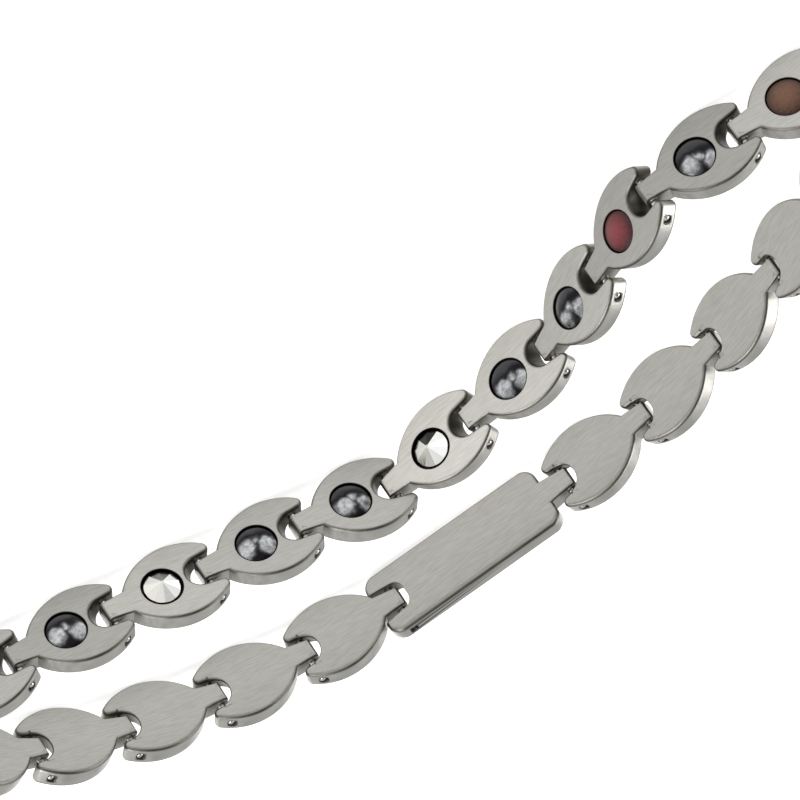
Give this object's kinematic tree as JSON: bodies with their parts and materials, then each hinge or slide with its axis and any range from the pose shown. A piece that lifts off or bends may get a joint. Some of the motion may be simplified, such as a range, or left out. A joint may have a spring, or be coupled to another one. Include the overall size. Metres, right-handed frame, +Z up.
{
  "type": "link bracelet",
  "caption": "Satin steel link bracelet standing on its edge as a closed loop, with a dark, bright, red or brown round insert in each link.",
  "frame": {"origin": "under the middle of the loop's bounding box, on the surface that the links' edges stand on", "axes": "+X along the long front run towards its far left end in the picture, +Y from the front run back across the wrist hollow, +Z up along the hinge pins"},
  "size_m": [0.0876, 0.0507, 0.0069],
  "materials": {
    "satin_steel": "satin, brushed lengthwise",
    "pin_steel": "plain turned steel",
    "dark_magnet": "polished dark grey magnet, almost black",
    "bright_stone": "polished bright facets",
    "red_ceramic": "matt dark red ceramic",
    "brown_ceramic": "matt brown ceramic"
  },
  "bodies": {
    "root": {"link_01": "satin_steel", "link_02": "satin_steel", "link_03": "satin_steel", "link_04": "satin_steel", "link_05": "satin_steel", "link_06": "satin_steel", "link_07": "satin_steel", "link_08": "satin_steel", "link_09": "satin_steel", "link_10": "satin_steel", "link_11": "satin_steel", "link_12": "satin_steel", "link_13": "satin_steel", "link_14": "satin_steel", "link_15": "satin_steel", "link_16": "satin_steel", "link_17": "satin_steel", "link_18": "satin_steel", "link_19": "satin_steel", "link_20": "satin_steel", "link_21": "satin_steel", "link_22": "satin_steel", "link_23": "satin_steel", "dark_dome_01": "dark_magnet", "dark_dome_02": "dark_magnet", "bright_stone_03": "bright_stone", "dark_dome_04": "dark_magnet", "dark_dome_05": "dark_magnet", "bright_stone_06": "bright_stone", "dark_dome_07": "dark_magnet", "dark_dome_08": "dark_magnet", "red_dome_09": "red_ceramic", "dark_dome_10": "dark_magnet", "brown_dome_11": "brown_ceramic", "dark_dome_12": "dark_magnet", "bright_stone_13": "bright_stone", "dark_dome_14": "dark_magnet", "dark_dome_15": "dark_magnet", "bright_stone_16": "bright_stone", "dark_dome_17": "dark_magnet", "dark_dome_18": "dark_magnet", "red_dome_19": "red_ceramic", "dark_dome_20": "dark_magnet", "brown_dome_21": "brown_ceramic", "dark_dome_22": "dark_magnet", "bright_stone_23": "bright_stone", "clasp": "satin_steel", "hinge_pins": "pin_steel"}
  },
  "joints": []
}
